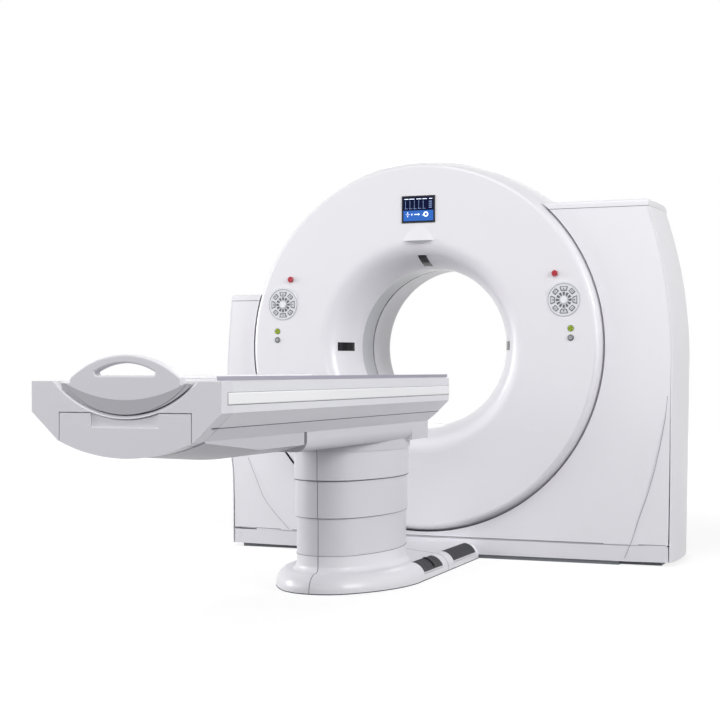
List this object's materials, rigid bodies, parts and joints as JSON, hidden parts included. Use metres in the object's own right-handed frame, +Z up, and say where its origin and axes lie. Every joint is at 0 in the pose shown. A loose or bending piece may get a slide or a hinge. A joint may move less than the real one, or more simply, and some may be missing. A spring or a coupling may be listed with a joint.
{
  "type": "ct scanner",
  "caption": "CT scanner with a tilting ring gantry between two fixed housings, and a lifting patient table with a sliding top.",
  "frame": {"origin": "on the floor under the isocentre, where the bore axis meets the tilt axis", "axes": "+Y from the table into the bore, +X to the right seen from the table, +Z up"},
  "size_m": [2.3879, 3.715, 2.0269],
  "materials": {
    "ring_white": "satin moulded covers of the tilting ring",
    "housing_white": "satin moulded covers of the side housings",
    "cap_white": "satin moulded caps",
    "plinth_white": "satin moulded skirt",
    "window_grey": "thin smooth film over the beam slot",
    "laser_dark": "smoked cover of the positioning lights",
    "frame_steel": "powder-coated steel",
    "bearing_steel": "ground steel",
    "drive_grey": "painted gear motor",
    "rotor_metal": "machined drum",
    "tube_grey": "painted housing",
    "collimator_dark": "painted lead-lined box",
    "detector_grey": "machined arc",
    "unit_grey": "sheet boxes",
    "bezel_black": "black frame of the display",
    "screen_glass": "lit display pane",
    "key_grey": "moulded key mat",
    "lamp_green": "green lens",
    "button_red": "red button",
    "button_grey": "grey button",
    "table_white": "satin moulded table covers",
    "column_white": "painted sleeves",
    "rail_white": "painted side profile",
    "inlay_white": "bright inlay",
    "rail_grey": "anodised accessory rail",
    "top_grey": "smooth composite tabletop",
    "grip_white": "moulded grip",
    "mast_steel": "steel tube",
    "pedal_black": "black ribbed pedal"
  },
  "bodies": {
    "base": {"base_frame": "frame_steel", "left_stand": "frame_steel", "right_stand": "frame_steel", "tilt_bearings": "bearing_steel", "tilt_drive": "drive_grey", "left_front_cover": "housing_white", "right_front_cover": "housing_white", "left_side_cover": "housing_white", "right_side_cover": "housing_white", "left_top_cap": "cap_white", "right_top_cap": "cap_white", "plinth": "plinth_white", "table_base": "frame_steel", "table_base_cover": "table_white", "column_lower": "column_white"},
    "ring": {"front_cover": "ring_white", "upper_shell": "ring_white", "lower_shell": "ring_white", "rear_cover": "ring_white", "scan_window": "window_grey", "tilt_frame": "frame_steel", "main_bearing": "bearing_steel", "drive_stator": "bearing_steel", "screen_bezel": "bezel_black", "screen_glass": "screen_glass", "laser_windows": "laser_dark", "left_keypad": "key_grey", "right_keypad": "key_grey", "status_lamps": "lamp_green"},
    "rotor": {"rotor_drum": "rotor_metal", "xray_tube": "tube_grey", "collimator": "collimator_dark", "detector": "detector_grey", "generator": "unit_grey", "slip_ring": "bearing_steel"},
    "table": {"table_body": "table_white", "mast_inner": "mast_steel", "left_side_rail": "rail_white", "right_side_rail": "rail_white", "rail_strips": "inlay_white", "edge_strips": "rail_grey", "end_cap": "table_white", "end_hatch": "table_white", "belly_pan": "table_white", "head_cover": "table_white"},
    "upper_sleeve": {"column_upper": "column_white"},
    "middle_sleeve": {"column_middle": "column_white"},
    "mast_stage": {"mast_middle": "mast_steel"},
    "top": {"tabletop": "top_grey", "grip_handle": "grip_white"},
    "left_stop": {"left_stop_button": "button_red"},
    "left_round": {"left_round_button": "button_grey"},
    "left_centre": {"left_centre_button": "button_grey"},
    "left_near": {"left_near_pedal": "pedal_black"},
    "left_far": {"left_far_pedal": "pedal_black"},
    "right_stop": {"right_stop_button": "button_red"},
    "right_round": {"right_round_button": "button_grey"},
    "right_centre": {"right_centre_button": "button_grey"},
    "right_near": {"right_near_pedal": "pedal_black"},
    "right_far": {"right_far_pedal": "pedal_black"}
  },
  "joints": [
    {"name": "gantry_tilt", "type": "hinge", "parent": "base", "child": "ring", "pos_m": [0, 0, 1.057], "axis": [-1, 0, 0], "range_deg": [-30, 30]},
    {"name": "rotor_spin", "type": "hinge", "parent": "ring", "child": "rotor", "pos_m": [0, 0, 1.057], "axis": [0, 1, 0], "continuous": true},
    {"name": "left_stop_press", "type": "slide", "parent": "ring", "child": "left_stop", "axis": [0, 1, 0], "range_m": [0, 0.004], "stiffness_N_per_m": 900, "springref_m": -0.002},
    {"name": "left_round_press", "type": "slide", "parent": "ring", "child": "left_round", "axis": [0, 1, 0], "range_m": [0, 0.003], "stiffness_N_per_m": 900, "springref_m": -0.002},
    {"name": "left_centre_press", "type": "slide", "parent": "ring", "child": "left_centre", "axis": [0, 1, 0], "range_m": [0, 0.003], "stiffness_N_per_m": 900, "springref_m": -0.002},
    {"name": "right_stop_press", "type": "slide", "parent": "ring", "child": "right_stop", "axis": [0, 1, 0], "range_m": [0, 0.004], "stiffness_N_per_m": 900, "springref_m": -0.002},
    {"name": "right_round_press", "type": "slide", "parent": "ring", "child": "right_round", "axis": [0, 1, 0], "range_m": [0, 0.003], "stiffness_N_per_m": 900, "springref_m": -0.002},
    {"name": "right_centre_press", "type": "slide", "parent": "ring", "child": "right_centre", "axis": [0, 1, 0], "range_m": [0, 0.003], "stiffness_N_per_m": 900, "springref_m": -0.002},
    {"name": "left_near_press", "type": "hinge", "parent": "base", "child": "left_near", "pos_m": [-0.248, -1.01, 0.07492], "axis": [0, -1, 0], "range_deg": [0, 3], "stiffness_Nm_per_rad": 60, "springref_deg": -2.29},
    {"name": "left_far_press", "type": "hinge", "parent": "base", "child": "left_far", "pos_m": [-0.24064, -0.53, 0.07492], "axis": [0, -1, 0], "range_deg": [0, 3], "stiffness_Nm_per_rad": 60, "springref_deg": -2.29},
    {"name": "right_near_press", "type": "hinge", "parent": "base", "child": "right_near", "pos_m": [0.248, -1.01, 0.07492], "axis": [0, 1, 0], "range_deg": [0, 3], "stiffness_Nm_per_rad": 60, "springref_deg": -2.29},
    {"name": "right_far_press", "type": "hinge", "parent": "base", "child": "right_far", "pos_m": [0.24064, -0.53, 0.07492], "axis": [0, 1, 0], "range_deg": [0, 3], "stiffness_Nm_per_rad": 60, "springref_deg": -2.29},
    {"name": "table_lift", "type": "slide", "parent": "base", "child": "table", "axis": [0, 0, 1], "range_m": [-0.4, 0.02]},
    {"name": "upper_sleeve_lift", "type": "slide", "parent": "base", "child": "upper_sleeve", "axis": [0, 0, 1], "range_m": [-0.304, 0.0152]},
    {"name": "middle_sleeve_lift", "type": "slide", "parent": "base", "child": "middle_sleeve", "axis": [0, 0, 1], "range_m": [-0.152, 0.0076]},
    {"name": "mast_lift", "type": "slide", "parent": "base", "child": "mast_stage", "axis": [0, 0, 1], "range_m": [-0.2, 0.01]},
    {"name": "tabletop_slide", "type": "slide", "parent": "table", "child": "top", "axis": [0, 1, 0], "range_m": [0, 1.6]}
  ],
  "couplings": [
    {"joint": "upper_sleeve_lift", "follows": "table_lift", "ratio": 0.76},
    {"joint": "middle_sleeve_lift", "follows": "table_lift", "ratio": 0.38},
    {"joint": "mast_lift", "follows": "table_lift", "ratio": 0.5}
  ]
}
